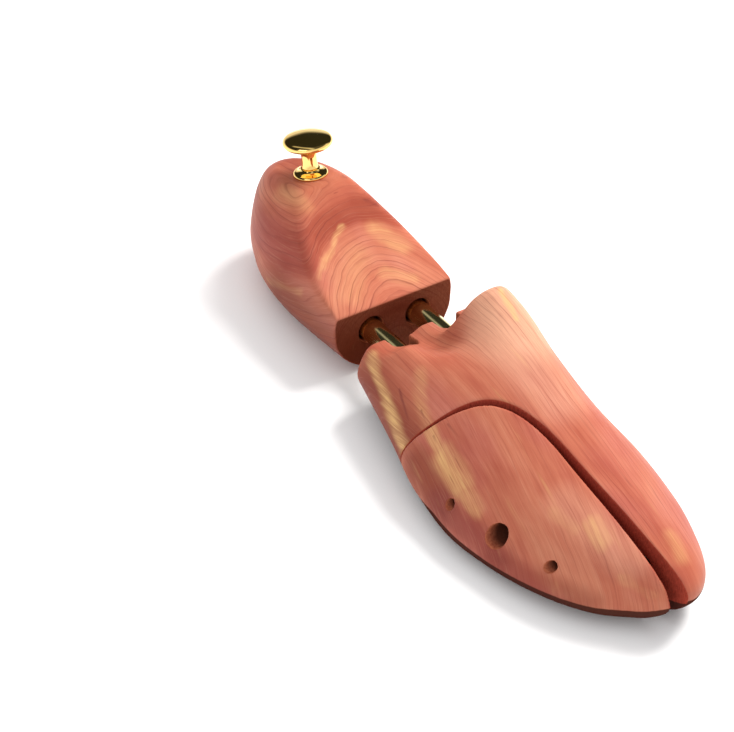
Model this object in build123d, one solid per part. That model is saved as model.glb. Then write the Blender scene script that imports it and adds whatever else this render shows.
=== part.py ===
from build123d import *
import math
import os

# Twin-tube split-toe cedar shoe tree for a right shoe.
# The pieces are laid out in a tube frame: X across the foot (medial +), Y along the tubes
# (heel +, toe -), Z up, with the origin on the heel block's front face, midway between the tubes.
# They are then tipped so that the sole and the heel base stand on one floor.

# ---- driving dimensions, mm and degrees ----
PITCH = 5.0                # tubes run uphill towards the toe when the tree stands on the floor
FLOOR_H = -32.3            # floor height at FLOOR_Y
FLOOR_Y = -125.0

TUBE_X = 12.6              # half the tube spacing
TUBE_Z = -0.7              # tube axes, just below the frame's origin
TUBE_OD = 10.8
TUBE_ID = 9.2
TUBE_FRONT = -78.0         # front end of each outer tube, seated in the main toe block
TUBE_REAR = 38.0           # rear end, inside the heel block's clearance bore
PLUG_LEN = 12.0
BUSH_LEN = 14.0
ROD_D = 8.0
ROD_CLEAR = 0.05           # radial running clearance of rod in bush and collar in tube
ROD_REAR = 80.0
COLLAR_LEN = 6.0
HEEL_BORE_D = 13.3         # clearance bore around each outer tube
HEEL_BORE_DEPTH = 62.0
SPRING_WIRE = 1.0
SPRING_OD = 8.4
SPRING_TURNS = 15
SLIDE_TRAVEL = 18.0        # compression travel of the heel block
PIN_D = 2.5

REAR_FACE = -20.0          # rear face of the toe section
SLOT_W = 12.8              # open-topped relief over each tube at the rear face
SLOT_CENTRE = -26.0

KERF = 1.3                 # saw kerf of the curved split
OPEN_DEG = 2.4             # side block's opening at rest
PIVOT = (-33.0, -88.0)     # vertical hinge pin of the side block
STOP_PIN = (-31.0, -101.0)
HINGE_Z = -14.5            # mid-height of the hinge plate
HINGE_T = 2.5
HINGE_W = 13.0
PIVOT_PIN_D = 4.0
STOP_PIN_D = 3.0
PIN_RUN = 0.05

TOE_SPRING_Y = -179.0
TOE_SPRING_Z = -17.0
TOE_SPRING_OD = 7.0
TOE_SPRING_WIRE = 0.9
TOE_BORE_D = 9.0

# side vents, drilled straight across the side block: y, z, diameter
VENTS = [(-108.8, -12.2, 4.6), (-135.2, -13.2, 9.8), (-161.4, -14.8, 4.9)]

KNOB_AT = (1.0, 72.0)
PAD_Z = 38.3               # knob pad height under the knob
PAD_TILT = 8.0             # the pad slopes down towards the back of the heel
PAD_START = 63.0

# Toe section outline, one row per station along the tubes:
# y, lateral x, medial x, bottom z, crest z, crest x, lateral bulge z, medial bulge z,
# then the curve handles: lateral-top (v, h), medial-top (v, h), bottom (v, h)
TOE = [
    (-204, 7, 7, -19, -19, 7, -19, -19, .55, .55, .55, .55, .55, .6),
    (-200, -3.2, 18, -27, -12, 7, -22.5, -20, .55, .55, .55, .55, .7, .78),
    (-192, -11.6, 26, -32, -7, 7, -25, -22, .55, .55, .55, .55, .8, .86),
    (-180, -24.4, 32, -33, -2, 8, -25.4, -22, .55, .55, .55, .55, .82, .86),
    (-160, -36.5, 37.5, -33, 5.5, 9, -24.6, -21, .55, .55, .55, .55, .82, .86),
    (-135, -44.6, 39.9, -32.5, 13, 10, -23.6, -20, .52, .5, .55, .55, .82, .86),
    (-110, -48.5, 36.5, -31.5, 21, 12, -20.6, -17, .48, .45, .55, .55, .82, .86),
    (-85, -47.0, 34, -29, 31, 15, -16, -11, .4, .38, .55, .52, .72, .78),
    (-60, -42, 32.8, -25.5, 39.5, 17.5, -10, -4, .32, .28, .62, .62, .6, .65),
    (-40, -38, 32.2, -22.5, 42.6, 18, -6, 0, .3, .22, .62, .66, .6, .6),
    (-20, -33.5, 30.4, -20, 45.4, 18, -4, 2, .3, .2, .6, .66, .6, .6),
]
# saddle scooped out of the top beside the instep peak: depth along y, and (centre x, width)
SADDLE = [(-204, 0), (-110, 0), (-85, 1), (-70, 4), (-60, 8), (-50, 14), (-40, 20), (-30, 24), (-20, 26)]
SADDLE_X = (-3.0, 13.0)
SIDE_LEAN = 0.3            # the side leans in above the sole edge, so the sole shows as a crisp edge
# side profile of the sloping rear cut, y and z
REAR_CUT = [(-66, 50), (-59, 46), (-51, 41.5), (-46, 37), (-43.4, 33), (-41.6, 28.5),
            (-40, 23.5), (-38, 18.2), (-35.3, 13.8), (-31.2, 11), (-25.5, 9.6), (-19, 8.8)]

# Heel block outline, one row per height: z, lateral x, medial x, back y, start of the rounded back
HEEL = [
    (-19, -20, 19, 83, 38),
    (-15.5, -25, 24, 89, 38),
    (-10, -30, 28.5, 94, 38),
    (-2, -33.5, 31.5, 98.5, 38),
    (6, -34, 32, 101, 40),
    (14, -32, 30.5, 102, 42),
    (22, -28.5, 26.5, 101.5, 46),
    (28, -25, 22.5, 100, 50),
    (33, -21, 19, 97.5, 54),
    (37, -17, 16, 94.5, 56),
    (44, -11.5, 12, 90, 58),
]
# heights of the outlines that the heel block is skinned over, closer together on the rounded base
HEEL_STEPS = [-19, -18.2, -17.2, -16, -14, -11, -8, -4, 0, 4, 8, 12, 16, 20, 24, 28, 31, 34, 37, 40, 42, 44]
# top of the heel block, from the front face up to the knob pad, y and z
PAD = lambda y: PAD_Z - (y - KNOB_AT[1]) * math.tan(math.radians(PAD_TILT))
RAMP = [(-5, 9.2), (0, 11.5), (15, 17.2), (30, 24.6), (42, 31.8), (50, 36.6), (55, 38.9), (59, 39.85), (PAD_START, PAD(PAD_START))]

# plan line of the split on the main block's side, from the toe tip to the lateral side
SPLIT = [(8.0, -215), (7.0, -207), (5.7, -197), (4.4, -187.5), (3.0, -175.7), (1.6, -163.7), (0.3, -151.5),
         (-0.7, -139), (-1.4, -128), (-2.6, -118.4), (-4.9, -108.6), (-7.9, -100.8), (-11.6, -94.6),
         (-16.6, -89.3), (-21.9, -85.6), (-28.5, -81.8), (-34.7, -78.4), (-41.2, -73.8), (-48.0, -68.6), (-56, -62.0)]


def slopes(xs, ys):
    """Monotone cubic slopes (Fritsch-Carlson)."""
    n = len(xs)
    h = [xs[i + 1] - xs[i] for i in range(n - 1)]
    d = [(ys[i + 1] - ys[i]) / h[i] for i in range(n - 1)]
    m = [0.0] * n
    for i in range(1, n - 1):
        if d[i - 1] * d[i] > 0:
            w1, w2 = 2 * h[i] + h[i - 1], h[i] + 2 * h[i - 1]
            m[i] = (w1 + w2) / (w1 / d[i - 1] + w2 / d[i])

    def end(h0, h1, d0, d1):
        s = ((2 * h0 + h1) * d0 - h0 * d1) / (h0 + h1)
        if s * d0 <= 0:
            return 0.0
        if d0 * d1 <= 0 and abs(s) > 3 * abs(d0):
            return 3 * d0
        return s

    m[0] = end(h[0], h[1], d[0], d[1])
    m[-1] = end(h[-1], h[-2], d[-1], d[-2])
    return m


def curve(xs, ys):
    m = slopes(xs, ys)

    def at(x):
        i = 0
        while i < len(xs) - 2 and x > xs[i + 1]:
            i += 1
        h = xs[i + 1] - xs[i]
        t = (x - xs[i]) / h
        return ((1 + 2 * t) * (1 - t) ** 2 * ys[i] + t * (1 - t) ** 2 * h * m[i]
                + t * t * (3 - 2 * t) * ys[i + 1] + t * t * (t - 1) * h * m[i + 1])
    return at


def bezier(p0, p1, p2, p3, n):
    out = []
    for k in range(n):
        t = k / n
        a, b, c, d = (1 - t) ** 3, 3 * (1 - t) ** 2 * t, 3 * (1 - t) * t * t, t ** 3
        out.append(tuple(a * w + b * x + c * y + d * z for w, x, y, z in zip(p0, p1, p2, p3)))
    return out


Q = [math.sqrt(r[0] - TOE[0][0]) for r in TOE]
TOE_F = [curve(Q, [r[i] for r in TOE]) for i in range(1, 14)]
SADDLE_F = curve([r[0] for r in SADDLE], [r[1] for r in SADDLE])


def toe_section(q, n=9):
    """Closed outline of the toe section at y = tip + q*q, as (x, z) points."""
    xl, xm, zb, zt, xt, zl, zm, al, bl, am, bm, ab, bb = [f(q) for f in TOE_F]
    y = TOE[0][0] + q * q
    xb = (xl + xm) / 2
    t = min(1.0, max(0.0, (y + 105) / 30))
    lean = SIDE_LEAN * (1 - t * t * (3 - 2 * t))
    pts = bezier((xm, zm), (xm, zm + am * (zt - zm)), (xt + bm * (xm - xt), zt), (xt, zt), n)
    pts += bezier((xt, zt), (xt - bl * (xt - xl), zt),
                  (xl + lean * al * (zt - zl), zl + al * (zt - zl)), (xl, zl), n)
    pts += bezier((xl, zl), (xl, zl - ab * (zl - zb)), (xb - bb * (xb - xl), zb), (xb, zb), n)
    pts += bezier((xb, zb), (xb + bb * (xm - xb), zb), (xm, zm - ab * (zm - zb)), (xm, zm), n)
    depth = SADDLE_F(y)
    out = []
    for x, z in pts:
        up = min(1.0, max(0.0, (z - zl) / max(zt - zl, 1e-6)))
        if z > zl:
            z -= depth * math.exp(-((x - SADDLE_X[0]) / SADDLE_X[1]) ** 2) * min(1.0, 1.6 * up)
        out.append((x, z))
    return y, out


def toe_solid():
    wires = []
    q_end = math.sqrt(REAR_FACE + 4.0 - TOE[0][0])
    stations = [0.8 + (q_end - 0.8) * k / 17 for k in range(18)]
    for q in stations:
        q = min(q, Q[-1] - 1e-6)
        y, pts = toe_section(q)
        wires.append(Wire(Edge.make_spline([Vector(x, y, z) for x, z in pts], periodic=True)))
    tip = Vertex(TOE[0][1], TOE[0][0], TOE[0][3])
    return Solid.make_loft([tip] + wires)


def heel_outline(z):
    zs = [r[0] for r in HEEL]
    wl, wm, yb, yc = [curve(zs, [r[i] for r in HEEL])(z) for i in range(1, 5)]
    xb = (wl + wm) / 2
    pts = bezier((wm - 1.5, -6), (wm - .5, 10), (wm, yc - 14), (wm, yc), 4)
    pts += bezier((wm, yc), (wm, yc + .6 * (yb - yc)), (xb + .6 * (wm - xb), yb), (xb, yb), 8)
    pts += bezier((xb, yb), (xb + .6 * (wl - xb), yb), (wl, yc + .6 * (yb - yc)), (wl, yc), 8)
    pts += bezier((wl, yc), (wl, yc - 14), (wl + 1.3, 10), (wl + 2.2, -6), 4) + [(wl + 2.2, -6)]
    return pts


def heel_solid():
    wires = []
    for z in HEEL_STEPS:
        pts = [Vector(x, y, z) for x, y in heel_outline(z)]
        wires.append(Wire([Edge.make_spline(pts), Edge.make_line(pts[-1], pts[0])]))
    return Solid.make_loft(wires)


def prism_x(spline_pts, corners, half=70.0):
    """Prism across the foot, bounded by a spline in (y, z) and by straight lines through corners."""
    p = [Vector(-half, y, z) for y, z in spline_pts]
    c = [Vector(-half, y, z) for y, z in corners]
    chain = [p[-1]] + c + [p[0]]
    edges = [Edge.make_spline(p)] + [Edge.make_line(a, b) for a, b in zip(chain, chain[1:])]
    return Solid.extrude(Face(Wire(edges)), Vector(2 * half, 0, 0))


def prism_z(spline_pts, corners, low=-60.0, high=80.0):
    p = [Vector(x, y, low) for x, y in spline_pts]
    c = [Vector(x, y, low) for x, y in corners]
    chain = [p[-1]] + c + [p[0]]
    edges = [Edge.make_spline(p)] + [Edge.make_line(a, b) for a, b in zip(chain, chain[1:])]
    return Solid.extrude(Face(Wire(edges)), Vector(0, 0, high - low))


def rod_y(x, z, y0, y1, r):
    return Solid.make_cylinder(r, y1 - y0, Plane((x, y0, z), x_dir=(1, 0, 0), z_dir=(0, 1, 0)))


def rod_x(y, z, x0, x1, r):
    return Solid.make_cylinder(r, x1 - x0, Plane((x0, y, z), x_dir=(0, 1, 0), z_dir=(1, 0, 0)))


def rod_z(x, y, z0, z1, r):
    return Solid.make_cylinder(r, z1 - z0, Plane((x, y, z0)))


def box(x0, x1, y0, y1, z0, z1):
    return Solid.make_box(x1 - x0, y1 - y0, z1 - z0, Plane((x0, y0, z0)))


def turned(profile, x, y, z):
    """Solid of revolution standing square on the tilted knob pad; profile is (radius, height)."""
    pts = [Vector(r, 0, h) for r, h in profile]
    edges = [Edge.make_line(a, b) for a, b in zip(pts, pts[1:] + pts[:1])]
    return Solid.revolve(Face(Wire(edges)), 360, Axis.Z).moved(Location((x, y, z), (-PAD_TILT, 0, 0)))


def turn(p, centre, deg):
    a = math.radians(deg)
    dx, dy = p[0] - centre[0], p[1] - centre[1]
    return (centre[0] + dx * math.cos(a) - dy * math.sin(a), centre[1] + dx * math.sin(a) + dy * math.cos(a))


def coil(radius, wire, length, turns, plane):
    """Compression spring, its centre line a helix that starts at the plane's origin."""
    path = Wire(Edge.make_helix(pitch=(length - wire) / turns, height=length - wire, radius=radius))
    start = path.position_at(0)
    tangent = path.tangent_at(0)
    ring = Face(Wire(Edge.make_circle(wire / 2, Plane(start, z_dir=tangent))))
    body = sweep(ring, path=path)
    body = body.moved(Location((0, 0, wire / 2)))
    return plane.location * body


def floor_cutter():
    """Everything below the floor, as a block in the tube frame."""
    b = Solid.make_box(300, 500, 60, Plane((-150, -250, -60)))
    return b.moved(Location((0, FLOOR_Y, FLOOR_H)) * Location((0, 0, 0), (PITCH, 0, 0)))


P = {}

# ---- toe section: one carved block, sawn into a main block and a side block ----
whole = toe_solid()
whole = whole - prism_x(REAR_CUT, [(40, 8.8), (40, 90), (-66, 90)])
whole = whole - box(-80, 80, REAR_FACE, 40, -80, 90)
whole = whole - floor_cutter()

open_corner = [(-140, -62), (-140, -215)]
main = whole - prism_z(SPLIT, open_corner)

side_line = []
for i, p in enumerate(SPLIT):
    a = SPLIT[max(i - 1, 0)]
    b = SPLIT[min(i + 1, len(SPLIT) - 1)]
    tx, ty = b[0] - a[0], b[1] - a[1]
    ln = math.hypot(tx, ty)
    shifted = (p[0] - ty / ln * KERF, p[1] + tx / ln * KERF)
    side_line.append(turn(shifted, PIVOT, -OPEN_DEG))
side = whole & prism_z(side_line, [(-140, side_line[-1][1]), (-140, side_line[0][1])])

for y, z, d in VENTS:
    side = side - rod_x(y, z, -80, 20, d / 2)

# tube bores and the open-topped slots over the tubes
for s in (-1, 1):
    x = s * TUBE_X
    main = main - rod_y(x, TUBE_Z, TUBE_FRONT, 10, TUBE_OD / 2)
    main = main - rod_y(x, TUBE_Z, SLOT_CENTRE, 10, SLOT_W / 2)
    main = main - rod_z(x, SLOT_CENTRE, TUBE_Z, 60, SLOT_W / 2)
    main = main - box(x - SLOT_W / 2, x + SLOT_W / 2, SLOT_CENTRE, 10, TUBE_Z, 60)

# hinge plate: fixed in the main block, reaching through the split into the side block
HX0, HX1 = PIVOT[0] - HINGE_W / 2 + 1.0, PIVOT[0] + HINGE_W / 2 + 1.0
H_REAR, H_FRONT = -63.0, -107.0
plate_z = (HINGE_Z - HINGE_T / 2, HINGE_Z + HINGE_T / 2)
plate = box(HX0, HX1, H_FRONT, H_REAR, *plate_z)
main = main - box(HX0, HX1, H_FRONT, H_REAR, *plate_z)
side = side - box(HX0 - 2.5, HX1 + 2.5, H_FRONT - 1.5, H_REAR, plate_z[0] - 0.15, plate_z[1] + 0.15)
plate = plate - rod_z(*PIVOT, -40, 10, PIVOT_PIN_D / 2 + PIN_RUN)
# short slot that lets the stop pin swing from open to closed
slot_r = STOP_PIN_D / 2 + 0.05
for k in range(5):
    c = turn(STOP_PIN, PIVOT, OPEN_DEG * k / 4)
    plate = plate - rod_z(*c, -40, 10, slot_r)
MAIN_PINS = [(-32.0, -66.5), (-32.0, -73.5)]
PIN_LOW, PIN_HIGH = -27.0, -7.5
pin_pair = []
for c in MAIN_PINS:
    plate = plate - rod_z(*c, -40, 10, PIN_D / 2)
    main = main - rod_z(*c, -40, PIN_HIGH, PIN_D / 2)
    pin_pair.append(rod_z(*c, -24.5, PIN_HIGH, PIN_D / 2))
side = side - rod_z(*PIVOT, -40, PIN_HIGH, PIVOT_PIN_D / 2) - rod_z(*STOP_PIN, -40, PIN_HIGH, STOP_PIN_D / 2)
P["hinge_plate"] = plate
P["hinge_plate_pins"] = pin_pair
P["toe_pivot_pin"] = rod_z(*PIVOT, PIN_LOW, PIN_HIGH, PIVOT_PIN_D / 2)
P["toe_stop_pin"] = rod_z(*STOP_PIN, PIN_LOW, PIN_HIGH, STOP_PIN_D / 2)

# toe spring in two facing blind bores
TS0, TS1 = -12.0, 14.0
main = main - rod_x(TOE_SPRING_Y, TOE_SPRING_Z, -5, TS1, TOE_BORE_D / 2)
side = side - rod_x(TOE_SPRING_Y, TOE_SPRING_Z, TS0, 10, TOE_BORE_D / 2)
P["toe_spring"] = coil((TOE_SPRING_OD - TOE_SPRING_WIRE) / 2, TOE_SPRING_WIRE, TS1 - TS0, 9,
                       Plane((TS0, TOE_SPRING_Y, TOE_SPRING_Z), x_dir=(0, 1, 0), z_dir=(1, 0, 0)))

# ---- heel block ----
heel = heel_solid()
heel = heel - prism_x(RAMP, [(120, PAD(120)), (120, 70), (-5, 70)])
heel = heel - box(-80, 80, -20, 0, -60, 80) - floor_cutter()

# ---- telescopic tubes ----
pins_t, pins_r = [], []
for s, side_name in ((-1, "left"), (1, "right")):
    x = s * TUBE_X
    y_plug = TUBE_FRONT + PLUG_LEN
    y_bush = TUBE_REAR - BUSH_LEN
    y_rod = y_bush - COLLAR_LEN
    heel = heel - rod_y(x, TUBE_Z, -5, HEEL_BORE_DEPTH, HEEL_BORE_D / 2) - rod_y(x, TUBE_Z, HEEL_BORE_DEPTH - 2, ROD_REAR, ROD_D / 2)
    tube = rod_y(x, TUBE_Z, TUBE_FRONT, TUBE_REAR, TUBE_OD / 2) - rod_y(x, TUBE_Z, TUBE_FRONT - 1, TUBE_REAR + 1, TUBE_ID / 2)
    plug = rod_y(x, TUBE_Z, TUBE_FRONT, y_plug, TUBE_ID / 2)
    bush = rod_y(x, TUBE_Z, y_bush, TUBE_REAR, TUBE_ID / 2) - rod_y(x, TUBE_Z, y_bush - 1, TUBE_REAR + 1, ROD_D / 2 + ROD_CLEAR)
    rod = rod_y(x, TUBE_Z, y_rod, ROD_REAR, ROD_D / 2)
    collar = rod_y(x, TUBE_Z, y_rod, y_bush, TUBE_ID / 2 - ROD_CLEAR) - rod_y(x, TUBE_Z, y_rod - 1, y_bush + 1, ROD_D / 2)
    # cross pins, driven up from below
    yp, yr = TUBE_FRONT + PLUG_LEN / 2, HEEL_BORE_DEPTH + 9.0
    pin_t = rod_z(x, yp, -24.0, TUBE_Z + TUBE_OD / 2 + 4, PIN_D / 2)
    pin_r = rod_z(x, yr, -13.0, TUBE_Z + ROD_D / 2 + 3, PIN_D / 2)
    main = main - rod_z(x, yp, -40, TUBE_Z + TUBE_OD / 2 + 4, PIN_D / 2)
    tube = tube - rod_z(x, yp, -20, 20, PIN_D / 2)
    plug = plug - rod_z(x, yp, -20, 20, PIN_D / 2)
    heel = heel - rod_z(x, yr, -40, TUBE_Z + ROD_D / 2 + 3, PIN_D / 2)
    rod = rod - rod_z(x, yr, -20, 20, PIN_D / 2)
    pins_t.append(pin_t)
    pins_r.append(pin_r)
    P["outer_tube_" + side_name] = tube
    P["tube_plug_" + side_name] = plug
    P["tube_bush_" + side_name] = bush
    P["inner_rod_" + side_name] = rod
    P["rod_stop_collar_" + side_name] = collar
    P["tube_spring_" + side_name] = coil((SPRING_OD - SPRING_WIRE) / 2, SPRING_WIRE, y_rod - y_plug, SPRING_TURNS,
                                         Plane((x, y_plug, TUBE_Z), x_dir=(1, 0, 0), z_dir=(0, 1, 0)))
P["tube_pins"] = pins_t
P["rod_pins"] = pins_r

# ---- knob ----
kx, ky = KNOB_AT
base_profile = [(2.0, 0), (8.1, 0), (8.2, 0.9), (7.9, 1.5), (7.1, 1.9), (6.2, 2.1), (5.4, 2.6), (4.8, 3.2), (4.4, 3.8), (2.0, 3.8)]
knob_profile = [(0, 10.5), (2.0, 10.5), (2.0, 3.8), (4.0, 3.8), (3.75, 5.0), (3.6, 6.5), (3.6, 9.0), (3.8, 11), (4.3, 12.3),
                (5.4, 13.3), (7.4, 14.1), (9.4, 14.7), (10.8, 15.3), (11.5, 16.0), (11.75, 16.9), (11.65, 17.7),
                (11.3, 18.3), (10.6, 18.8), (9.0, 19.25), (6.0, 19.7), (3.0, 19.95), (0, 20.0)]
stud_profile = [(0, -20), (1.0, -18.5), (2.0, -16), (2.0, 10.5), (0, 10.5)]
P["knob_base"] = turned(base_profile, kx, ky, PAD_Z)
P["knob"] = turned(knob_profile, kx, ky, PAD_Z)
P["knob_stud"] = turned(stud_profile, kx, ky, PAD_Z)
heel = heel - turned([(0, -20), (1.0, -18.5), (2.0, -16), (2.0, 5), (0, 5)], kx, ky, PAD_Z)

P["main_toe_block"] = main
P["side_toe_block"] = side
P["heel_block"] = heel


# ---- stand the tree on the floor and centre it ----
def solids_of(item):
    if isinstance(item, (list, tuple)):
        return [s for one in item for s in solids_of(one)]
    return list(item.solids())


tip_over = Location((0, 0, 0), (-PITCH, 0, 0))
placed = {name: Compound(children=[s.moved(tip_over) for s in solids_of(item)]) for name, item in P.items()}
points = [v for c in placed.values() for v in c.tessellate(0.02, 0.2)[0]]
low = [min(v.X for v in points), min(v.Y for v in points)]
high = [max(v.X for v in points), max(v.Y for v in points)]
floor_z = FLOOR_H * math.cos(math.radians(PITCH)) - FLOOR_Y * math.sin(math.radians(PITCH))
shift = Location((-(low[0] + high[0]) / 2, -(low[1] + high[1]) / 2, -floor_z))

os.makedirs("parts", exist_ok=True)
for name, shape in placed.items():
    shape = shape.moved(shift)
    parts = shape.solids()
    shape = parts[0] if len(parts) == 1 else Compound(children=list(parts))
    export_step(shape, f"parts/{name}.step")
    print(name, len(parts), round(shape.volume, 1), "valid" if all(s.is_valid for s in parts) else "INVALID")
print("shift", tuple(round(v, 4) for v in shift.position), "size", [round(b - a, 3) for a, b in zip(low, high)], "lowest", round(min(v.Z for v in points) - floor_z, 4))
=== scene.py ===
import bpy, math
import numpy as np
from mathutils import Matrix, Vector


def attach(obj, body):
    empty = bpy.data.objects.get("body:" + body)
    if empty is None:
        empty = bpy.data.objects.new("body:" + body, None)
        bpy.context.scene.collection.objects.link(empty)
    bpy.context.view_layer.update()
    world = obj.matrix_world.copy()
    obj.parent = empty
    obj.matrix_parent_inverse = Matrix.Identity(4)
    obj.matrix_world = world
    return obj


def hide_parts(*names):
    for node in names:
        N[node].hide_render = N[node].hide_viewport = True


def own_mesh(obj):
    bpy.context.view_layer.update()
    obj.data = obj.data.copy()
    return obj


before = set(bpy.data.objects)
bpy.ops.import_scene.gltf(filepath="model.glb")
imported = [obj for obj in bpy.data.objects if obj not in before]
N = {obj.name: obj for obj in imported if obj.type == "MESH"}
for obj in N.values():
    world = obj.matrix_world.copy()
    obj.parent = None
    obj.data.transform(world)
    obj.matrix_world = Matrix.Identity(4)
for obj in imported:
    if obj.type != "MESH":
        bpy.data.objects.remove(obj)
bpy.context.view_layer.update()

# ------------------------------------------------------------------ frames
# Shapes are written in the tube frame in mm (X medial, Y along the tubes, Z up) and then stood
# on the floor in the row frame in metres.
PITCH = math.radians(5.0)
SHIFT = (4.2615, 50.9477, 21.2826)
CP, SP = math.cos(PITCH), math.sin(PITCH)


def to_row(p):
    p = np.asarray(p, float)
    x = p[..., 0] + SHIFT[0]
    y = p[..., 1] * CP + p[..., 2] * SP + SHIFT[1]
    z = -p[..., 1] * SP + p[..., 2] * CP + SHIFT[2]
    return np.stack([x, y, z], -1) / 1000.0


def dir_row(v):
    return np.array([v[0], v[1] * CP + v[2] * SP, -v[1] * SP + v[2] * CP])


# ------------------------------------------------------------------ shape tables, as in the CAD
TOE = [
    (-204, 7, 7, -19, -19, 7, -19, -19, .55, .55, .55, .55, .55, .6),
    (-200, -3.2, 18, -27, -12, 7, -22.5, -20, .55, .55, .55, .55, .7, .78),
    (-192, -11.6, 26, -32, -7, 7, -25, -22, .55, .55, .55, .55, .8, .86),
    (-180, -24.4, 32, -33, -2, 8, -25.4, -22, .55, .55, .55, .55, .82, .86),
    (-160, -36.5, 37.5, -33, 5.5, 9, -24.6, -21, .55, .55, .55, .55, .82, .86),
    (-135, -44.6, 39.9, -32.5, 13, 10, -23.6, -20, .52, .5, .55, .55, .82, .86),
    (-110, -48.5, 36.5, -31.5, 21, 12, -20.6, -17, .48, .45, .55, .55, .82, .86),
    (-85, -47.0, 34, -29, 31, 15, -16, -11, .4, .38, .55, .52, .72, .78),
    (-60, -42, 32.8, -25.5, 39.5, 17.5, -10, -4, .32, .28, .62, .62, .6, .65),
    (-40, -38, 32.2, -22.5, 42.6, 18, -6, 0, .3, .22, .62, .66, .6, .6),
    (-20, -33.5, 30.4, -20, 45.4, 18, -4, 2, .3, .2, .6, .66, .6, .6),
]
SADDLE = [(-204, 0), (-110, 0), (-85, 1), (-70, 4), (-60, 8), (-50, 14), (-40, 20), (-30, 24), (-20, 26)]
SADDLE_X = (-3.0, 13.0)
SIDE_LEAN = 0.3
REAR_CUT = [(-66, 50), (-59, 46), (-51, 41.5), (-46, 37), (-43.4, 33), (-41.6, 28.5),
            (-40, 23.5), (-38, 18.2), (-35.3, 13.8), (-31.2, 11), (-25.5, 9.6), (-19, 8.8)]
HEEL = [
    (-19, -20, 19, 83, 38), (-15.5, -25, 24, 89, 38), (-10, -30, 28.5, 94, 38), (-2, -33.5, 31.5, 98.5, 38),
    (6, -34, 32, 101, 40), (14, -32, 30.5, 102, 42), (22, -28.5, 26.5, 101.5, 46), (28, -25, 22.5, 100, 50),
    (33, -21, 19, 97.5, 54), (37, -17, 16, 94.5, 56), (44, -11.5, 12, 90, 58),
]
SPLIT = [(8.0, -215), (7.0, -207), (5.7, -197), (4.4, -187.5), (3.0, -175.7), (1.6, -163.7), (0.3, -151.5),
         (-0.7, -139), (-1.4, -128), (-2.6, -118.4), (-4.9, -108.6), (-7.9, -100.8), (-11.6, -94.6),
         (-16.6, -89.3), (-21.9, -85.6), (-28.5, -81.8), (-34.7, -78.4), (-41.2, -73.8), (-48.0, -68.6), (-56, -62.0)]
VENTS = [(-108.8, -12.2, 4.6), (-135.2, -13.2, 9.8), (-161.4, -14.8, 4.9)]
KERF, OPEN_DEG, PIVOT = 1.3, 2.4, (-33.0, -88.0)
TUBE_X, TUBE_OD, SLOT_W, SLOT_CENTRE, REAR_FACE = 12.6, 10.8, 12.8, -26.0, -20.0
HEEL_BORE_D, HEEL_BORE_DEPTH = 13.3, 62.0
FLOOR_H, FLOOR_Y = -32.3, -125.0
PAD_Z, PAD_TILT, KNOB_AT = 38.3, math.radians(8.0), (1.0, 72.0)
TUBE_Z = -0.7


def pad_height(y):
    return PAD_Z - (y - KNOB_AT[1]) * math.tan(PAD_TILT)


RAMP = [(-5, 9.2), (0, 11.5), (15, 17.2), (30, 24.6), (42, 31.8), (50, 36.6), (55, 38.9), (59, 39.85), (63.0, pad_height(63.0))]
HINGE_Z, HINGE_T = -14.5, 2.5

# ------------------------------------------------------------------ small numerics


def slopes(x, y):
    h = np.diff(x); d = np.diff(y) / h
    m = np.zeros_like(y)
    for i in range(1, len(x) - 1):
        if d[i - 1] * d[i] > 0:
            w1, w2 = 2 * h[i] + h[i - 1], h[i] + 2 * h[i - 1]
            m[i] = (w1 + w2) / (w1 / d[i - 1] + w2 / d[i])

    def end(h0, h1, d0, d1):
        s = ((2 * h0 + h1) * d0 - h0 * d1) / (h0 + h1)
        if s * d0 <= 0:
            return 0.0
        if d0 * d1 <= 0 and abs(s) > 3 * abs(d0):
            return 3 * d0
        return s
    m[0] = end(h[0], h[1], d[0], d[1]); m[-1] = end(h[-1], h[-2], d[-1], d[-2])
    return m


def curve(x, y):
    x, y = np.asarray(x, float), np.asarray(y, float)
    m = slopes(x, y)

    def at(q):
        q = np.clip(q, x[0], x[-1])
        i = np.clip(np.searchsorted(x, q, side="right") - 1, 0, len(x) - 2)
        h = x[i + 1] - x[i]; t = (q - x[i]) / h
        return ((1 + 2 * t) * (1 - t) ** 2 * y[i] + t * (1 - t) ** 2 * h * m[i]
                + t * t * (3 - 2 * t) * y[i + 1] + t * t * (t - 1) * h * m[i + 1])
    return at


def bezier(p0, p1, p2, p3, n):
    t = (np.arange(n) / n)[:, None]
    p0, p1, p2, p3 = [np.array(p, float) for p in (p0, p1, p2, p3)]
    return (1 - t) ** 3 * p0 + 3 * (1 - t) ** 2 * t * p1 + 3 * (1 - t) * t * t * p2 + t ** 3 * p3


def through(points, step=0.5):
    """Smooth line through points: natural cubic spline by chord length, sampled every step mm."""
    p = np.array(points, float)
    s = np.r_[0, np.cumsum(np.hypot(*np.diff(p, axis=0).T))]
    n = len(s); h = np.diff(s)
    A = np.zeros((n, n)); A[0, 0] = A[-1, -1] = 1
    R = np.zeros((n, 2))
    for i in range(1, n - 1):
        A[i, i - 1], A[i, i], A[i, i + 1] = h[i - 1], 2 * (h[i - 1] + h[i]), h[i]
        R[i] = 6 * ((p[i + 1] - p[i]) / h[i] - (p[i] - p[i - 1]) / h[i - 1])
    M = np.linalg.solve(A, R)
    q = np.linspace(0, s[-1], int(s[-1] / step) + 1)
    i = np.clip(np.searchsorted(s, q, side="right") - 1, 0, n - 2)
    a = ((s[i + 1] - q) / h[i])[:, None]; b = ((q - s[i]) / h[i])[:, None]
    hh = (h[i] ** 2)[:, None]
    return a * p[i] + b * p[i + 1] + ((a ** 3 - a) * M[i] + (b ** 3 - b) * M[i + 1]) * hh / 6


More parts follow.
